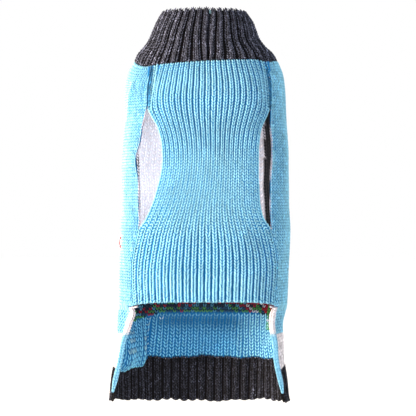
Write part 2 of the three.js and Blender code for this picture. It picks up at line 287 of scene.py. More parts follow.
def cloth_wall(name, place, columns, rows, outside, inside, thickness, materials, tube=False):
    """A wall of cloth laid by place(u, v), closed round for a tube. outside and inside give its faces'
    colours."""
    bm = bmesh.new()
    bmesh.ops.create_grid(bm, x_segments=columns, y_segments=rows, size=0.5)
    flat = np.array([vert.co[:] for vert in bm.verts])
    for vert, point in zip(bm.verts, place(flat[:, 0] + 0.5, 0.5 - flat[:, 1])):
        vert.co = point * MM
    if tube:
        bmesh.ops.remove_doubles(bm, verts=bm.verts, dist=1e-6)
    for face in bm.faces:
        face.smooth = True
    mesh = bpy.data.meshes.new(name)
    bm.to_mesh(mesh)
    bm.free()
    points = np.empty(len(mesh.vertices) * 3)
    mesh.vertices.foreach_get("co", points)
    points = points.reshape(-1, 3) / MM
    # the faces' colours carry painted shade as well as the yarn's own colour
    add_attribute(mesh, "yarn_colour_and_painted_shade", outside(points))
    add_attribute(mesh, "inside_colour_and_painted_shade", inside(points))
    for material in materials:
        mesh.materials.append(material)
    cloth = bpy.data.objects.new(name, mesh)
    bpy.context.collection.objects.link(cloth)
    wall = cloth.modifiers.new("cloth thickness", "SOLIDIFY")
    wall.thickness = thickness * MM
    wall.offset = -1
    wall.material_offset = 1
    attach(cloth, "root")
    return cloth


def lay_stitches(name, lay, width, course, colours, material, slot, seed, sides=4, rings=3, plump=0.8,
                 crown=0.2, mottle=0.08, deepest=1.5):
    """Lays a stitch at each place of a lay: a V of two legs of yarn, apart at the top and close at the
    foot. A stitch's width and course, a leg's half thickness and how far the V's sides fall away are in
    millimetres, and mottle is how much the legs differ in tone. No leg reaches deeper into the cloth than
    deepest, so that none shows on its other face."""
    chance = np.random.default_rng(seed)
    bm = bmesh.new()
    bmesh.ops.create_uvsphere(bm, u_segments=sides, v_segments=rings, radius=1)
    beside, up, along = np.array([vert.co[:] for vert in bm.verts]).T
    faces = [[vert.index for vert in face.verts] for face in bm.faces]
    bm.free()
    point, across, down, out = (part[:, None, :] for part in lay[:4])
    count = len(lay.point)
    width, course = (np.broadcast_to(size, count)[:, None] for size in (width, course))
    points = []
    for side in (-1, 1):
        wobble = chance.normal(0, 0.025, (3, count, 1))
        slant = 0.25 - 0.15 * along + 0.02 * (1 - along**2)
        x = width * (side * (slant + wobble[0]) + 0.165 * beside)
        y = course * (0.03 + 0.6 * along + wobble[1])
        height = plump * (up * (1 + 2 * wobble[2]) - 0.4) - crown * (2 * x / width) ** 2
        height = np.maximum(height, -deepest)
        points.append(point + across * x[..., None] + down * y[..., None] + out * height[..., None])
    points = np.concatenate(points).reshape(-1, 3) * MM
    copies = 2 * count
    loops = np.concatenate([np.array(face) for face in faces])
    starts = np.cumsum([0] + [len(face) for face in faces[:-1]])
    mesh = bpy.data.meshes.new(name)
    mesh.vertices.add(len(points))
    mesh.vertices.foreach_set("co", points.ravel())
    mesh.loops.add(len(loops) * copies)
    mesh.loops.foreach_set("vertex_index", (loops + np.arange(copies)[:, None] * len(along)).ravel())
    mesh.polygons.add(len(faces) * copies)
    mesh.polygons.foreach_set("loop_start", (starts + np.arange(copies)[:, None] * len(loops)).ravel())
    mesh.update(calc_edges=True)
    mesh.shade_smooth()
    # painted shade: the legs' ends, sides and undersides, which are tucked in between others, take the
    # deeper tone of yarn in a gap
    painted_tuck_shade = 0.8 * np.abs(along) ** 3 + 0.6 * np.abs(beside) + 0.6 * np.maximum(-up, 0)
    painted_tuck_shade = np.clip(painted_tuck_shade, 0, 1)[:, None]
    tone = np.exp(chance.normal(0, mottle, (copies, 1, 1)))
    colour = np.tile(colours, (2, 1))[:, None, :] * tone
    colour = colour * (1 - painted_tuck_shade) + painted_gap_shade(colour) * painted_tuck_shade
    add_attribute(mesh, "yarn_colour_and_painted_shade", colour.reshape(-1, 3).clip(0, 1))
    mesh.materials.append(material)
    stitches = bpy.data.objects.new(name, mesh)
    bpy.context.collection.objects.link(stitches)
    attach(stitches, "root")
    return stitches


def linear(hex_colour):
    """An sRGB hex colour as linear red, green and blue."""
    srgb = np.array([int(hex_colour[i:i + 2], 16) / 255 for i in (1, 3, 5)])
    return np.where(srgb <= 0.04045, srgb / 12.92, ((srgb + 0.055) / 1.055) ** 2.4)


def evenly(colour):
    """A colour of the whole wall, as a function of its points."""
    return lambda points: np.tile(colour, (len(points), 1))


def add_node(material, kind, settings=(), **links):
    """Adds a node, sets its properties and sockets, and links sockets given as (node, output)."""
    node = material.node_tree.nodes.new(kind)
    for key, value in dict(settings).items():
        if isinstance(key, str) and hasattr(node, key):
            setattr(node, key, value)
        else:
            node.inputs[key].default_value = value
    for socket, (source, output) in links.items():
        key = int(socket[1:]) if socket[0] == "_" and socket[1:].isdigit() else socket.replace("_", " ")
        material.node_tree.links.new(source.outputs[output], node.inputs[key])
    return node


def yarn_material(name, grain, tones, sheen, attribute="yarn_colour_and_painted_shade", noise=(0.36, 0.68)):
    """Spun acrylic yarn: matt and a little fuzzy. grain is the size of its fibres in millimetres, and tones
    are the darkest and lightest of them against the dyed colour, met at the two values of the noise. The
    cloth's tone also drifts over about 28 mm."""
    material = bpy.data.materials.new(name)
    material.use_nodes = True
    material.node_tree.nodes.clear()
    place = add_node(material, "ShaderNodeTexCoord")
    dyed = add_node(material, "ShaderNodeAttribute", {"attribute_name": attribute})
    fibre = add_node(material, "ShaderNodeTexNoise",
                     {"Scale": 1 / (grain * MM), "Detail": 2, "Roughness": 0.6}, Vector=(place, "Object"))
    patch = add_node(material, "ShaderNodeTexNoise", {"Scale": 1 / (28 * MM), "Detail": 1},
                     Vector=(place, "Object"))
    tone = add_node(material, "ShaderNodeMapRange",
                    {"From Min": noise[0], "From Max": noise[1], "To Min": tones[0], "To Max": tones[1]},
                    Value=(fibre, "Fac"))
    drift = add_node(material, "ShaderNodeMapRange",
                     {"From Min": 0.3, "From Max": 0.7, "To Min": 0.94, "To Max": 1.06},
                     Value=(patch, "Fac"))
    both = add_node(material, "ShaderNodeMath", {"operation": "MULTIPLY"},
                    _0=(tone, "Result"), _1=(drift, "Result"))
    toned = add_node(material, "ShaderNodeVectorMath", {"operation": "SCALE"},
                     _0=(dyed, "Color"), Scale=(both, "Value"))
    bump = add_node(material, "ShaderNodeBump", {"Strength": 0.5, "Distance": 0.25 * MM},
                    Height=(fibre, "Fac"))
    shader = add_node(material, "ShaderNodeBsdfPrincipled",
                      {"Roughness": 0.85, "Sheen Weight": sheen, "Sheen Roughness": 0.5,
                       "Specular IOR Level": 0.1},
                      Base_Color=(toned, "Vector"), Normal=(bump, "Normal"))
    add_node(material, "ShaderNodeOutputMaterial", Surface=(shader, "BSDF"))
    return material


# Fibres are drawn 0.6 mm apart, coarser than real ones so that they show
FIBRE = 0.6
FIBRE_TONES = (0.86, 1.14)
FIBRE_SHEEN = 0.12
blue_yarn = yarn_material("sky blue acrylic yarn", FIBRE, FIBRE_TONES, FIBRE_SHEEN)
blue_yarn_inside = yarn_material("sky blue acrylic yarn, inner face", FIBRE, FIBRE_TONES, FIBRE_SHEEN,
                                 "inside_colour_and_painted_shade")
blue_cloth = (blue_yarn, blue_yarn_inside)
SKY = linear("#92D0EA")
# painted shade: the blue cloth between the stitches is drawn a deep blue, for the shade down among them
SKY_PAINTED_SHADE = linear("#1C72B0")


def belly_wall_place(u, v):
    """The cloth under the stitches, sunk in the grooves between ribs. Beside the side seams it runs on by
    about 2 mm under the back panel, as a seam's allowance."""
    rib = 0.5 - 0.5 * np.cos(2 * np.pi * u * BELLY_RIBS)
    low = BELLY_LENGTH * v
    seam = 1 - smooth_step(low, 44, 51) + smooth_step(low, 172, 178) - smooth_step(low, 234, 242)
    u = 0.5 + (u - 0.5) * (1 + 0.036 * seam)
    return lifted(lay_of(belly_place, u, v), -0.8 - (1 - rib) * groove_depth(u, v)).point


belly_cloth = cloth_wall("belly_cloth", belly_wall_place, BELLY_RIBS * 6, 90, evenly(SKY_PAINTED_SHADE),
                         evenly(SKY_PAINTED_SHADE), BELLY_WALL, blue_cloth)
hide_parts("belly_panel")

belly_courses = round(BELLY_LENGTH / COURSE)
rib_at, course_at = np.meshgrid(
    (np.arange(BELLY_RIBS) + 0.5) / BELLY_RIBS, (np.arange(belly_courses) + 0.5) / belly_courses)
belly_lay = lay_of(belly_place, rib_at.ravel(), course_at.ravel())
belly_low = -belly_lay.point[:, 2]
closed_up = smooth_step(belly_low, 84, 112) * (1 - smooth_step(belly_low, 160, 196))
WIDEST_STITCH = 6.2
belly_width = np.minimum(WIDEST_STITCH, belly_lay.stretch / BELLY_RIBS * (0.82 + 0.18 * closed_up))
belly_stitches = lay_stitches("belly_stitches", belly_lay, belly_width, BELLY_LENGTH / belly_courses,
                              np.tile(SKY, (len(belly_lay.point), 1)), blue_yarn, "blue_rib", seed=2,
                              sides=6, rings=4, plump=0.9, crown=0.9)
# the purl bumps down in the gaps between ribs, one to a course, drawn a little lighter than the cloth's
# painted shade, which make each gap a row of dark dots
gap_at, course_at = np.meshgrid(
    np.arange(1, BELLY_RIBS) / BELLY_RIBS, np.arange(1, belly_courses) / belly_courses)
gap_lay = lay_of(belly_place, gap_at.ravel(), course_at.ravel())
gap_lay = lifted(gap_lay, -0.45 - 0.45 * groove_depth(gap_at.ravel(), course_at.ravel()))
gap_bumps = lay_stitches("belly_purl_bumps", gap_lay, 2.6, COURSE * 0.46,
                         np.tile(SKY_PAINTED_SHADE * 1.2, (gap_at.size, 1)), blue_yarn, "blue_rib", seed=6,
                         rings=2, plump=0.6)


def edge_chain(name, path, away, pitch, width, colour, material, slot, seed, **shape):
    """The chain of loops of a cast-off edge, along a path of points, with the direction that it faces."""
    steps = np.linalg.norm(np.diff(path, axis=0), axis=1)
    walked = np.concatenate(([0], np.cumsum(steps)))
    count = max(2, round(walked[-1] / pitch))
    stations = (np.arange(count) + 0.5) / count * walked[-1]
    point, out, ahead, behind = (
        np.stack([np.interp(at, walked, rows[:, k]) for k in range(3)], axis=-1)
        for at, rows in ((stations, path), (stations, away), (stations + 0.5, path), (stations - 0.5, path)))
    down = (ahead - behind) / np.linalg.norm(ahead - behind, axis=-1, keepdims=True)
    across = np.cross(out, down)
    across /= np.linalg.norm(across, axis=-1, keepdims=True)
    colours = colour(point) if callable(colour) else np.tile(colour, (count, 1))
    lay = Lay(point, across, down, np.cross(down, across), None)
    return lay_stitches(name, lay, width, walked[-1] / count, colours, material, slot, seed, sides=5,
                        **shape)


cast_off = lifted(lay_of(belly_place, np.linspace(0.004, 0.996, 160), np.full(160, 0.998)), -1.7)
edge_chain("belly_cast_off", cast_off.point, cast_off.out, 3.2, 2.3, SKY * 0.9, blue_yarn,
                              "blue_rib", 3)
# how far down the leg openings start and end
LEG_OPENING = (52, 172)
down_v = np.linspace(*LEG_OPENING, 120) / BELLY_LENGTH
for side, name in ((0, "left"), (1, "right")):
    sign = 2 * side - 1
    edge = lifted(lay_of(belly_place, np.full(120, 0.004 + 0.992 * side), down_v), -1.2, sign * 0.1)
    edge_chain(f"belly_{name}_leg_edge", edge.point,
                                  edge.out * 0.5 + edge.across * sign, 3, 3.2, SKY, blue_yarn, "blue_rib",
                                  4 + side)

# Back panel
# One piece of plain knit that wraps from side seam to side seam round the back. It is knitted double, so
# its inside has wider columns and the colours change places: sky blue outside where it is off-white inside,
# and below the patterned rows the other way round.
BACK_LENGTH = 312
JERSEY_WALL = 2.4
WALE_SHARE = 1 / 122
INNER_SHARE = 1 / 74
INNER_COURSE = 3.3
BACK_MARGIN = 2.6
BORDER_TOP = -246
TAIL_TOP = -250
TAIL_END_DROP = 7
COLOUR_CHANGE = -278

# Height and where the free edges of the tail are, as shares of the way round from the belly: left, right
TAIL_EDGES = [
    (-250, 0.178, 0.178),
    (-268, 0.2, 0.2),
    (-290, 0.226, 0.22),
    (-312, 0.238, 0.226),
    (-334, 0.246, 0.238),
    (-360, 0.25, 0.246),
]

# Height and how far the free edges of the tail turn in towards the middle: left, right
EDGE_TURN = [(-246, 0, 0), (-248, 1, 1), (-258, 7.5, 6.5), (-290, 8.5, 8.5), (-312, 6.5, 7.5),
             (-334, 4, 7.5), (-358, 0, 0)]

# Broad swells of the cloth: place across, height, spread sideways, above and below, and how far each stands
# out
SWELLS = [
    (0.055, -105, 0.03, 34, 34, 2.6),
    (0.95, -100, 0.03, 30, 30, -2.8),
    (0.94, -232, 0.04, 26, 26, 1.8),
    (0.63, -190, 0.08, 60, 60, -1.8),
    (0.4, -40, 0.07, 40, 40, -2),
    (0.14, -290, 0.05, 30, 26, -3.4),
    (0.27, -318, 0.05, 40, 60, 3.2),
    (0.5, -330, 0.09, 40, 60, -2.4),
    (0.72, -322, 0.04, 44, 60, 4),
    (0.86, -313, 0.06, 26, 9, -7),
    (0.47, -272, 0.2, 8, 9, 5),
]

# Soft folds, in millimetres across from the middle of the back. The flanks' come first, then the back's,
# which start at the neck and at the leg openings, and then the tail's.
BACK_FOLDS = [
    (-150, -22, -141, -66, 5, -1.6),
    (152, -12, 146, -62, 5, 1.6),
    (160, -60, 150, -150, 6, 1.3),
    (-146, -178, -158, -242, 7, -1.5),
    (148, -196, 156, -246, 6, -1.3),
    (-60, -8, -84, -70, 11, -2.2),
    (-22, -4, -12, -58, 9, 1.7),
    (46, -6, 74, -96, 13, -2.4),
    (96, -84, 30, -132, 12, 2.2),
    (-104, -96, -44, -150, 10, -2),
    (-98, -160, -30, -172, 11, 1.6),
    (86, -172, 18, -214, 14, -2.1),
    (-70, -214, -6, -236, 12, 1.7),
    (57, -266, 61, -308, 4, 2.6),
    (-46, -272, -50, -310, 7, 2.2),
    (-84, -292, -66, -312, 5, -2),
    (-92, -296, -80, -314, 4, 1.6),
    (12, -276, 4, -308, 9, 1.4),
]
tail_left, tail_right = curve_through(TAIL_EDGES, 1), curve_through(TAIL_EDGES, 2)
turn_left, turn_right = curve_through(EDGE_TURN, 1), curve_through(EDGE_TURN, 2)


def back_edges(z):
    """The shares of the way round at which the back panel ends on the right and on the left."""
    right = np.where(z < TAIL_TOP, tail_right(z), np.interp(z, body_heights, side_right))
    left = np.where(z < TAIL_TOP, 1 - tail_left(z), 1 + np.interp(z, body_heights, side_left))
    return right, left


def corner_bag(u):
    """Where across the panel the tail's lower left corner bags inwards."""
    return smooth_step(u, 0.705, 0.75) * (1 - smooth_step(u, 0.85, 0.97))


def end_drop(u, level):
    """How much lower the tail's rows hang at their two ends than in the middle."""
    return TAIL_END_DROP * (2 * u - 1) ** 4 * smooth_step(-level, 262, BACK_LENGTH)


def tail_drop(u, level):
    """How far the tail's rows hang down: at both free edges, and at the corner that bags over the hem."""
    hang = smooth_step(-level, 286, BACK_LENGTH) * (1 - smooth_step(-level, BACK_LENGTH + 2, 346))
    return end_drop(u, level) + (9 * corner_bag(u) + 0.8 * np.sin(23 * u) + 0.6 * np.sin(61 * u)) * hang


def back_place(u, level):
    """A point of the back panel or hem, for the share across from the right edge and the level down."""
    ripe = np.clip((-level - 258) / (BACK_LENGTH - 258), 0, 1) ** 2
    bag = corner_bag(u) * np.sin(np.pi * ripe)
    z = level - tail_drop(u, level) - 5 * bag * ripe
    right, left = back_edges(level - end_drop(u, level))
    point = body_point(right + (left - right) * u, z)
    outward = point * (1, 1.6, 0)
    outward /= np.linalg.norm(outward, axis=-1, keepdims=True)
    lift = np.zeros_like(z)
    for across, height, width, above, below, stand in SWELLS:
        up = (z - height) / np.where(z > height, above, below)
        lift += stand * np.exp(-(((u - across) / width) ** 2) - up**2)
    lift += soft_folds(BACK_FOLDS, (0.5 - u) * -GIRTH * (left - right), z) - 7 * bag
    point = point + outward * (lift * np.clip(12 * np.minimum(u, 1 - u), 0, 1))[..., None]
    at_left, at_right = smooth_step(u, 0.92, 1), 1 - smooth_step(u, 0, 0.09)
    point[..., 0] += turn_left(level) * at_left - turn_right(level) * at_right
    point[..., 2] -= neck_dip(point) * smooth_step(level, -45, 0)
    return point


def across_of(share, level):
    """How far across the back panel a share of the way round is."""
    right, left = back_edges(level)
    u = (share - right) / (left - right)
    right, left = back_edges(level - end_drop(u, level))
    return (share - right) / (left - right)


def lay_back(u, level):
    return lay_of(lambda across, down: back_place(across, -100 * down), u, -level / 100)


OFF_WHITE = linear("#E9E6EC")
# painted shade: the off-white cloth between the stitches is drawn grey
OFF_WHITE_PAINTED_SHADE = linear("#BDBCC8")
RED = linear("#AE121C")
GREEN = linear("#5C9A3C")
INNER_SKY = linear("#88DAFC")
# painted shade: the sky blue cloth between the inner stitches is drawn deep blue
INNER_SKY_PAINTED_SHADE = linear("#1C6AA6")
# painted shade: the wrong side of the flanks beside the leg openings is drawn near black, for the dark
# hollow there
FLANK_PAINTED_SHADE = linear("#1E1F26")
PALETTE = {"b": SKY, "w": OFF_WHITE, "r": RED, "g": GREEN}
# Small traditional bands, charted from the top row down: a row of lozenges, and a border of crosses and
# teeth. Each has its top level, its chart, and the columns that it starts and ends at, counted from the
# middle of the back. The lozenges just reach round to the left flank.
LOZENGES = ["bbbwbbbb", "bbrrrbbb", "brrwrrbw", "brrwrrbw", "bbrrrbbb", "bbbwbbbb"]
BORDER = ["rbrbrbrb", "wrwrwrwr", "wwgwwwrw", "wgggwrrr", "wwgwwwrw", "wrwrwrwr", "gbgbgbgb", "bgbwbgbw"]
BANDS = ((-176, LOZENGES, -31, 36), (BORDER_TOP, BORDER, -29, 29))


def outer_colours(column, level, point):
    colours = np.where((level < COLOUR_CHANGE)[:, None], OFF_WHITE, SKY)
    for top, chart, first, last in BANDS:
        row = np.floor((top - level) / COURSE).astype(int)
        for i, line in enumerate(chart):
            for k, letter in enumerate(line):
                here = (row == i) & (column % len(line) == k) & (column >= first) & (column < last)
                colours[here] = PALETTE[letter]
    return colours


def flank_shade_place(point):
    """Where the wrong side of the two flanks is painted dark, a painted shade like that at the far edges of
    the leg openings.
    """
    x, z = point[:, 0], point[:, 2]
    return ((x > 64.5) | (x < -70.5)) & (z < -40) & (z > -186)


def inner_colours(column, level, point):
    """The wrong side. Behind the border it shows specks of every colour, reds above greens, and below it
    sky blue with a few pale stitches where the off-white of the outside comes through."""
    chance = np.random.default_rng(11)
    pick = chance.random(len(level))
    course = np.round(-level / INNER_COURSE).astype(int)
    colours = np.where(((column + course) % 2 == 0)[:, None], OFF_WHITE, linear("#DCE2EE"))
    # the painted shade of the flanks starts with a whole column
    beside_legs = (point[:, 2] < -40) & (point[:, 2] > -186)
    for one in np.unique(column):
        here = beside_legs & (column == one)
        if here.any() and flank_shade_place(point[here].mean(axis=0, keepdims=True))[0]:
            colours[here] = FLANK_PAINTED_SHADE
    # painted light: the tail's inner face turns paler towards the right, where light falls into it
    lit = smooth_step(point[:, 0], 20, 56)[:, None]
    colours = np.where((level < -244)[:, None], INNER_SKY * (1 - lit) + linear("#B0F0FF") * lit, colours)
    # painted shadow: the rows just under the border are drawn darker in a band, the shadow that the belly's
    # edge casts there
    fold = 0.85 * np.exp(-(((level + 272) / 7) ** 2)) * (1 - smooth_step(np.abs(point[:, 0] + 7), 34, 52))
    colours = colours * (1 - fold[:, None]) + 0.4 * painted_gap_shade(INNER_SKY) * fold[:, None]
    # two columns of pale stitches near the left crease, and loose ones at the top between them
    x = point[:, 0]
    for place, top, bottom in ((-60, -268, -304), (-76, -280, -298)):
        pale = (np.abs(x - place) < 3.1) & (level < top) & (level > bottom) & (course % 2 == 0)
        colours[pale] = linear("#A6D6E4")
    colours[(np.abs(x + 52) < 8) & (level < -264) & (level > -271) & (pick < 0.3)] = linear("#C4E0EC")
    return colours


def border_reach(point):
    """How far down the border's wrong side reaches, which is lower at the two sides."""
    x = point[:, 0]
    return -263 - np.clip((np.abs(x) - 46) / 34, 0, 1) * np.where(x < 0, 9, 3)


def float_colours(column, level, point):
    """The wrong side of the border: reds above and greens below, as the yarns cross there, with some
    off-white at the right. Its last stitches run on down the right free edge."""
    chance = np.random.default_rng(12)
    pick = chance.random(len(level))
    right = point[:, 0] > 44
    upper = level > border_reach(point) + 6
    red_share = np.where(upper, 0.38, 0.05) + np.where(right, 0.24, 0)
    green_share = red_share + np.where(upper, 0.1, 0.42)
    # painted shade: the ground among the specks is dark navy in the upper rows and deep blue below, for the
    # shade under the belly's edge
    base = np.where(upper[:, None], linear("#0F2A40"), linear("#236488"))
    colours = np.where((pick < 0.82)[:, None], base, linear("#5AA9CC"))
    colours[pick < green_share] = linear("#5FAE54")
    colours[pick < red_share] = linear("#C01A32")
    colours[(pick > 0.82) & right] = OFF_WHITE
    return colours


def back_wall_place(u, v):
    return lifted(lay_back(u, -SEAM_GAP - (BACK_LENGTH - SEAM_GAP) * v), -0.8).point


def outer_ground(points):
    """Painted shade for the cloth between the stitches: deep blue, grey off-white low down, and darker
    behind the bands, where strands of every colour cross.
    """
    below = -points[:, 2]
    low = smooth_step(below, -COLOUR_CHANGE - 1, -COLOUR_CHANGE + 3)[:, None]
    lozenges = smooth_step(below, 177, 180) * (1 - smooth_step(below, 190, 193))
    border = smooth_step(below, 246, 249) * (1 - smooth_step(below, 265, 269))
    # the lozenges reach further round on the left than on the right, and the border to just behind both
    # flanks
    lozenges_end = np.where(points[:, 0] < 0, -26, -4)
    lozenges *= smooth_step(points[:, 1], lozenges_end - 3, lozenges_end + 3)
    bands = (lozenges + border * smooth_step(points[:, 1], 4, 8))[:, None]
    return (SKY_PAINTED_SHADE * (1 - low) + OFF_WHITE_PAINTED_SHADE * low) * (1 - bands) + linear("#33222E") * bands


# The cloth between the inner stitches, in painted shade: grey off-white above, deep blue on the tail, near
# black behind the border and darker on the flanks.
def inner_ground(points):
    low = smooth_step(-points[:, 2], 240, 245)[:, None]
    border = low * (points[:, 2] > border_reach(points))[:, None]
    dark = flank_shade_place(points)[:, None]
    plain = (OFF_WHITE_PAINTED_SHADE * (1 - low) + INNER_SKY_PAINTED_SHADE * low) * (1 - border) + linear("#0C2236") * border
    return plain * (1 - dark) + FLANK_PAINTED_SHADE * 0.6 * dark


back_cloth = cloth_wall("back_cloth", back_wall_place, 120, 104, outer_ground, inner_ground, 1.1, blue_cloth)
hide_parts("back_panel")


def back_stitches(name, share_step, course, top, bottom, margin, inside, colour_of, width_share, seed,
                  only=None, **shape):
    """The stitches of one face of the back panel between two levels, in upright columns up to a margin from
    its side edges, and only where the function given for that says so."""
    reach = int(0.42 / share_step)
    rows = np.arange(top - course / 2, bottom, -course)
    column, level = (grid.ravel() for grid in np.meshgrid(np.arange(-reach, reach), rows))
    u = across_of(0.5 + (column + 0.5) * share_step, level)
    right, left = back_edges(level)
    keep = np.minimum(u, 1 - u) * (left - right) * GIRTH > margin
    column, level, u = column[keep], level[keep], u[keep]
    # one more column runs along each side edge, just inside the margin
    for side, sign in ((0, -1), (1, 1)):
        right, left = back_edges(rows)
        column = np.append(column, np.full(len(rows), sign * reach))
        level = np.append(level, rows)
        u = np.append(u, side - sign * (margin - 0.9) / (left - right) / GIRTH)
    right, left = back_edges(level)
    if only:
        keep = only(level, body_point(right + (left - right) * u, level))
        column, level, u, right, left = column[keep], level[keep], u[keep], right[keep], left[keep]
    span = left - right
    lay = lay_back(u, level)
    width = width_share * lay.stretch / span * share_step
    deep = np.linalg.norm(back_place(u, level + course / 2) - back_place(u, level - course / 2), axis=-1)
    if inside:
        lay = other_face(lay, JERSEY_WALL)
    colours = colour_of(column, level, lay.point)
    return lay_stitches(name, lay, width, deep, colours, blue_yarn, "blue_jersey", seed, **shape)


def in_border(level, point):
    edge = (point[:, 0] > 67) & (level > -282)
    return (level > border_reach(point)) | edge


def off_border(level, point):
    return (level > BORDER_TOP) | ~in_border(level, point)


back_pieces = [
    back_stitches("back_stitches_upper", WALE_SHARE, COURSE, -SEAM_GAP, -156, BACK_MARGIN, False,
                  outer_colours, 1, 21, mottle=0.13),
    back_stitches("back_stitches_lower", WALE_SHARE, COURSE, -156.9, -BACK_LENGTH, BACK_MARGIN, False,
                  outer_colours, 1, 22, mottle=0.13),
    back_stitches("back_inner_stitches", INNER_SHARE, INNER_COURSE, -20, -BACK_LENGTH, 5, True,
                  inner_colours, 0.93, 23, only=off_border, plump=1.1, crown=1.3, deepest=0.6),
    back_stitches("border_floats", WALE_SHARE, COURSE, BORDER_TOP, -282, 4, True, float_colours, 0.95, 24,
                  only=in_border, plump=1.1, deepest=0.6),
]

# The cast-off edge of the back panel turns out at the leg openings, and shows lilac white
levels = -np.linspace(*LEG_OPENING, 120)
for side, name in ((1, "left"), (0, "right")):
    sign = 2 * side - 1
    wave = 0.5 * np.sin(levels / 5.5) + 0.4 * np.sin(levels / 13)
    edge = lifted(lay_back(np.full(120, float(side)), levels), -1.3, sign * 0.1 + wave)
    back_pieces.append(edge_chain(f"{name}_leg_edge", edge.point, edge.out * 0.3 + edge.across * sign, 3,
                                  2.3, linear("#DAD4E4"), blue_yarn, "blue_jersey", 30 + side))

# Side seams
# The belly and back panels are linked edge to edge above and below the leg openings, with a thread of the
# same yarn. It lies sunk between them, drawn in a darker blue as painted shade, and shows as a fine row of
# darker bars.
for side, name in ((1, "left"), (0, "right")):
    for part, (top, bottom) in enumerate(((-2, -52), (-173, -247))):
        levels = np.linspace(top, bottom, 60)
        seam = lifted(lay_back(np.full(60, float(side)), levels), -0.9, (2 * side - 1) * 0.8)
        edge_chain(f"{name}_side_seam_{part + 1}", seam.point, seam.out, 2.9, 5.4,
                                      linear("#3E84AE"), blue_yarn, "blue_jersey", 40 + part + 2 * side,
                                      mottle=0.4, plump=1)

# Tail edges
# The free edges of the tail are finished with a rolled strip of knit, off-white at the top where the
# patterned rows end, and light blue from there to the hem.
EDGE_TOP = -250
EDGE_BOTTOM = -334
EDGE_HALF_WIDTH = 3.2
EDGE_HALF_THICKNESS = 3.2


def edge_frame(side, level):
    """The middle of the rolled strip with the directions along the cloth, away from it, and out of it."""
    lay = lay_back(np.full_like(level, side), level)
    along = lay.across * (2 * side - 1)
    return lay.point + along * (EDGE_HALF_WIDTH + 0.5) - lay.out * 1.4, along, lay.out


def strip_colour(points):
    low = smooth_step(-points[:, 2], 276, 282)[:, None]
    return linear("#E6E3EC") * (1 - low) + linear("#8CC8E8") * low


for side, name in ((1, "left"), (0, "right")):
    bm = bmesh.new()
    bmesh.ops.create_cone(bm, cap_ends=True, segments=12, radius1=1, radius2=1, depth=1)
    shaft = [edge for edge in bm.edges if abs(edge.verts[0].co.z - edge.verts[1].co.z) > 0.5]
    bmesh.ops.subdivide_edges(bm, edges=shaft, cuts=39, use_grid_fill=True)
    shape = np.array([vert.co[:] for vert in bm.verts])
    down = 0.5 - shape[:, 2]
    taper = np.minimum(1, np.minimum(0.45 + 2.6 * down, 0.4 + 3.2 * (1 - down)))[:, None]
    middle, along, out = edge_frame(side, EDGE_TOP + (EDGE_BOTTOM - EDGE_TOP) * down)
    points = middle + 0.82 * taper * (
        along * EDGE_HALF_WIDTH * shape[:, 0:1] + out * EDGE_HALF_THICKNESS * shape[:, 1:2])
    for vert, point in zip(bm.verts, points):
        vert.co = point * MM
    bmesh.ops.recalc_face_normals(bm, faces=bm.faces)
    for face in bm.faces:
        face.smooth = True
    roll_mesh = bpy.data.meshes.new(f"{name}_edge_roll")
    bm.to_mesh(roll_mesh)
    bm.free()
    # painted shade: the roll's core, under its rows of loops, takes the deeper tone of yarn in a gap
    add_attribute(roll_mesh, "yarn_colour_and_painted_shade", painted_gap_shade(strip_colour(points)))
    roll_mesh.materials.append(blue_yarn)
    roll = bpy.data.objects.new(f"{name}_edge_roll", roll_mesh)
    bpy.context.collection.objects.link(roll)
    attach(roll, "root")
    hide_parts(f"{name}_tail_edge")
    down = np.linspace(0.01, 0.99, 90)
    middle, along, out = edge_frame(side, EDGE_TOP + (EDGE_BOTTOM - EDGE_TOP) * down)
    taper = np.minimum(1, np.minimum(0.5 + 5 * down, 0.4 + 4 * (1 - down)))[:, None]
    rows = ((1.6, 2.1, out), (-1.4, 2.2, out), (2.9, 0, along), (1.6, -2.1, -out), (-1.4, -2.2, -out))
    for k, (aside, lift, facing) in enumerate(rows):
        row = middle + taper * (along * aside + out * lift)
        edge_chain(f"{name}_edge_roll_row_{k + 1}", row, facing, 3.1, 3.1, strip_colour, blue_yarn,
                   "blue_edge", 50 + k, plump=1)

# Tail hem
# A charcoal 2x2 rib linked to the lower edge of the back panel. Both faces show ribs, and each rib outside
# is a groove inside.
HEM_RIBS = 28
HEM_SIDE_DROP = 350
HEM_BACK_DROP = 359
HEM_COURSES = 14
HEM_THICKNESS = 3.8
RIB_WALL = 1.1
RIB_DEPTH = 2
RIB_TILT = 0.5


def hem_place(u, v):
    bottom = -(HEM_SIDE_DROP + (HEM_BACK_DROP - HEM_SIDE_DROP) * (1 - (2 * u - 1) ** 2))
    top = -BACK_LENGTH - SEAM_GAP
    wave = (np.cos(2 * np.pi * u * HEM_RIBS) * (0.7 + 0.4 * np.sin(13 * u))
            + 0.9 * np.sin(19 * u) + np.sin(47 * u))
    scallop = 0.7 * wave * smooth_step(v, 0.8, 1)
    return back_place(u, top + (bottom + TAIL_END_DROP * (2 * u - 1) ** 4 - top) * v - scallop)


def rib_wall_place(place, ribs, depth):
    """The cloth between the stitches of a rib's two faces: it lies deep under a groove and high under a
    rib."""
    def wall_place(u, v):
        rib = 0.5 - 0.5 * np.cos(2 * np.pi * u * ribs)
        return lifted(lay_of(place, u, v), -0.9 - (1 - rib) * depth).point
    return wall_place


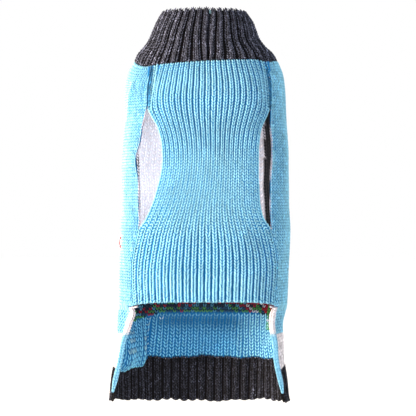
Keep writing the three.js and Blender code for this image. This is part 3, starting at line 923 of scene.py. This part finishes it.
# Charcoal marl: near-black yarn spun with fine light grey fibres, which show as specks about 0.75 mm wide
SPECK = 0.75
MARL_TONES = (0.4, 4.7)
MARL_NOISE = (0.48, 0.68)
MARL_SHEEN = 0.05
charcoal_yarn = yarn_material("charcoal marl acrylic yarn", SPECK, MARL_TONES, MARL_SHEEN, noise=MARL_NOISE)
charcoal_yarn_inside = yarn_material("charcoal marl acrylic yarn, inner face", SPECK, MARL_TONES, MARL_SHEEN,
                                     "inside_colour_and_painted_shade", MARL_NOISE)
charcoal_cloth = (charcoal_yarn, charcoal_yarn_inside)
CHARCOAL = linear("#454857")
# painted shade: the charcoal cloth between the ribs' stitches is drawn near black
CHARCOAL_PAINTED_SHADE = linear("#08070B")

hem_cloth = cloth_wall("hem_cloth", rib_wall_place(hem_place, HEM_RIBS, RIB_DEPTH), HEM_RIBS * 8, 16,
                       evenly(CHARCOAL_PAINTED_SHADE), evenly(CHARCOAL_PAINTED_SHADE), RIB_WALL, charcoal_cloth)
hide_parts("tail_hem")


def rib_stitches(name, place, ribs, courses, centres, inside, depth, colour, seed):
    """Two columns of stitches on each rib of a 2x2 rib, each leaning to its own side of the rounded rib."""
    parts = []
    for side in (-1, 1):
        u, v = (grid.ravel() for grid in np.meshgrid(
            (centres + 0.2 * side) / ribs, np.linspace(-0.1, courses - 0.5, courses + 1) / courses))
        lay = lay_of(place, u, v)
        deep = np.linalg.norm(place(u, v + 0.5 / courses) - place(u, v - 0.5 / courses), axis=-1)
        if inside:
            lay = other_face(lay, depth)
        lean = RIB_TILT * side * (-1 if inside else 1)
        lay = lay._replace(across=lay.across * np.cos(lean) - lay.out * np.sin(lean),
                           out=lay.out * np.cos(lean) + lay.across * np.sin(lean))
        parts.append((lay, 0.47 * lay.stretch / ribs, deep))
    lay = Lay(*(np.concatenate([part[0][k] for part in parts]) for k in range(5)))
    width, deep = (np.concatenate([part[k] for part in parts]) for k in (1, 2))
    colours = np.tile(colour, (len(deep), 1))
    return lay_stitches(name, lay, width, deep, colours, charcoal_yarn, "charcoal_rib", seed, sides=5,
                        plump=1, crown=0.3, mottle=0.4)


# painted shade: the hem is drawn in the collar's yarn at about half its tone
HEM_PAINTED_SHADE_CHARCOAL = CHARCOAL * 0.48
hem_pieces = [
    rib_stitches("hem_stitches", hem_place, HEM_RIBS, HEM_COURSES, np.arange(HEM_RIBS) + 0.5, False, 0,
                 HEM_PAINTED_SHADE_CHARCOAL, 61),
    rib_stitches("hem_inner_stitches", hem_place, HEM_RIBS, HEM_COURSES, np.arange(1.0, HEM_RIBS), True,
                 HEM_THICKNESS, HEM_PAINTED_SHADE_CHARCOAL, 62),
]
# the row of loops that links the hem to the tail, on both faces, at half the collar's tone as painted shade
for inside, name in ((False, "hem_linking"), (True, "hem_inner_linking")):
    linking = lay_of(hem_place, np.linspace(0.008, 0.992, 300), np.zeros(300))
    linking = lifted(other_face(linking, 2.6) if inside else linking, -0.7)
    hem_pieces.append(edge_chain(name, linking.point, linking.out, 3, 2.4, CHARCOAL * 0.5, charcoal_yarn,
                                 "charcoal_rib", 63 + inside))

# Collar
# A charcoal 2x2 rib tube that narrows from the neck seam up. Its ends are joined by a seam in front, where
# the ribs run together into a small V at the bottom.
COLLAR_HEIGHT = 51
COLLAR_RIBS = 38
COLLAR_COURSES = 20
COLLAR_THICKNESS = 3.7

# Height, half width, depth of the belly side, depth of the back side, lean, power
COLLAR_SECTIONS = [
    (0, 73.4, 51, 50, 1.5, 2.15),
    (8, 69.3, 48, 47, 0.9, 2.1),
    (16, 61.8, 45, 44.5, 0, 2.1),
    (24, 56.8, 42.5, 42, -0.5, 2.1),
    (33, 53.2, 40, 40, -0.3, 2.1),
    (42, 49, 37.5, 38, 0, 2.1),
    (54, 41, 34.5, 35.5, -0.5, 2.1),
]
COLLAR_FOLDS = [
    (-48, 40, -58, 14, 5, -1.6),
    (-22, 36, -30, 8, 6, 1.2),
    (30, 34, 44, 6, 6, -1.5),
    (12, 30, 16, 4, 5, 1.1),
]
collar_heights, collar_x, collar_point = section_form(COLLAR_SECTIONS, 0, 54)


def collar_place(u, v):
    """A point of the collar, for the share of the way round from its seam and the share down from its
    top."""
    from_seam = (u + 0.5) % 1 - 0.5
    wave = (np.cos(2 * np.pi * u * COLLAR_RIBS) + 0.5 * np.sin(2 * np.pi * 7 * u)
            + 0.4 * np.sin(2 * np.pi * 17 * u))
    bump = -0.45 * wave * smooth_step(1 - v, 0.88, 1)
    z = COLLAR_HEIGHT - 1 + (SEAM_GAP - COLLAR_HEIGHT + 1) * v + bump
    pinch = -0.55 * from_seam * np.exp(-((from_seam / 0.05) ** 2)) * np.clip(v, 0, 1) ** 2
    point = collar_point(u + pinch + 0.022 - 0.016 * v, z)
    outward = point * (1, 1, 0) / np.linalg.norm(point * (1, 1, 0), axis=-1, keepdims=True)
    small_v = 3.4 * smooth_step(v, 0.6, 0.85) * (1 - 0.8 * smooth_step(v, 0.9, 1))
    seam = np.exp(-((from_seam / 0.006) ** 2)) * (1 + small_v)
    side = np.where(point[..., 1] < 0, 1, -1)
    lift = soft_folds(COLLAR_FOLDS, point[..., 0] * side, z) - seam
    point = point + outward * (lift * smooth_step(v, 0, 0.2))[..., None]
    point[..., 2] -= neck_dip(point) * smooth_step(v, 0.3, 1)
    return point


collar_cloth = cloth_wall("collar_cloth", rib_wall_place(collar_place, COLLAR_RIBS, RIB_DEPTH),
                          COLLAR_RIBS * 8, 20, evenly(CHARCOAL_PAINTED_SHADE), evenly(CHARCOAL_PAINTED_SHADE), RIB_WALL,
                          charcoal_cloth, tube=True)
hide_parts("collar")

collar_pieces = [
    rib_stitches("collar_stitches", collar_place, COLLAR_RIBS, COLLAR_COURSES,
                 np.arange(COLLAR_RIBS) + 0.5, False, 0, CHARCOAL, 71),
    rib_stitches("collar_inner_stitches", collar_place, COLLAR_RIBS, COLLAR_COURSES,
                 np.arange(COLLAR_RIBS) + 0.0, True, COLLAR_THICKNESS, CHARCOAL, 72),
]
# the seam's thread, drawn in painted shade, and the end of blue yarn caught in it at the top
seam = lifted(lay_of(collar_place, np.zeros(60), np.linspace(0.04, 0.8, 60)), -1.2)
collar_pieces.append(edge_chain("collar_seam", seam.point, seam.out, 2.6, 1.9, painted_gap_shade(CHARCOAL) * 2,
                                charcoal_yarn, "charcoal_rib", 73))
yarn_end = lifted(lay_of(collar_place, np.full(20, 0.002), np.linspace(0.01, 0.1, 20)), -0.6)
collar_pieces.append(edge_chain("collar_yarn_end", yarn_end.point, yarn_end.out, 2.4, 2,
                                linear("#9FCDE0"), blue_yarn, "blue_rib", 74))
# the row of loops that links the collar to the body, drawn in painted shade
linking = lifted(lay_of(collar_place, np.linspace(0, 1, 400), np.full(400, 1.0)), -0.9)
collar_pieces.append(edge_chain("neck_linking", linking.point, linking.out, 2.9, 2.6, painted_gap_shade(CHARCOAL),
                                charcoal_yarn, "charcoal_rib", 75))

# Studio
# A white floor a little below the hem, in a white surround. A wide, low light stands on the left, under
# which the belly shades the top of the tail. A weaker one is above the camera, and a small lamp hangs in
# the hollow and lights the inner face that the leg openings show. The camera stands 1.3 m in front, level
# with the sweater's middle.
floor_material = bpy.data.materials.new("matt white floor")
floor_material.use_nodes = True
floor_shader = floor_material.node_tree.nodes["Principled BSDF"]
floor_shader.inputs["Base Color"].default_value = (1, 1, 1, 1)
floor_shader.inputs["Roughness"].default_value = 0.9
bm = bmesh.new()
bmesh.ops.create_circle(bm, cap_ends=True, segments=96, radius=6)
bmesh.ops.translate(bm, verts=bm.verts, vec=(0, 0, -0.43))
floor_mesh = bpy.data.meshes.new("floor")
bm.to_mesh(floor_mesh)
bm.free()
floor_mesh.materials.append(floor_material)
floor = bpy.data.objects.new("floor", floor_mesh)
bpy.context.collection.objects.link(floor)

world = bpy.data.worlds.new("white surround")
world.use_nodes = True
world.node_tree.nodes["Background"].inputs["Color"].default_value = (1, 1, 1, 1)
world.node_tree.nodes["Background"].inputs["Strength"].default_value = 1
bpy.context.scene.world = world
bpy.context.scene.view_settings.view_transform = "Standard"


def soft_light(name, place, target, width, height, power, colour):
    light = bpy.data.lights.new(name, "AREA")
    light.shape = "RECTANGLE"
    light.size = width
    light.size_y = height
    light.energy = power
    light.color = colour
    lamp = bpy.data.objects.new(name, light)
    lamp.location = place
    lamp.rotation_mode = "QUATERNION"
    lamp.rotation_quaternion = (Vector(target) - Vector(place)).to_track_quat("-Z", "Y")
    bpy.context.collection.objects.link(lamp)
    return lamp


soft_light("left light", (-1.42, -0.76, 0.02), (0, 0, -0.15), 0.7, 0.16, 72, (1, 0.81, 0.6))
soft_light("front light", (0.2, -1.5, 0.6), (0, 0, -0.15), 0.6, 0.6, 2.8, (0.88, 0.96, 1))
hollow_lamp = soft_light("hollow lamp", (-0.02, -0.02, -0.115), (-0.03, 0.06, -0.115), 0.1, 0.1, 0.15,
                         (1, 1, 1))
hollow_lamp.visible_camera = False

camera_data = bpy.data.cameras.new("camera")
camera_data.lens = 108.7
camera = bpy.data.objects.new("camera", camera_data)
camera.location = (0.0036, -1.3, -0.151)
camera.rotation_euler = (np.pi / 2, 0, 0)
bpy.context.collection.objects.link(camera)
bpy.context.scene.camera = camera
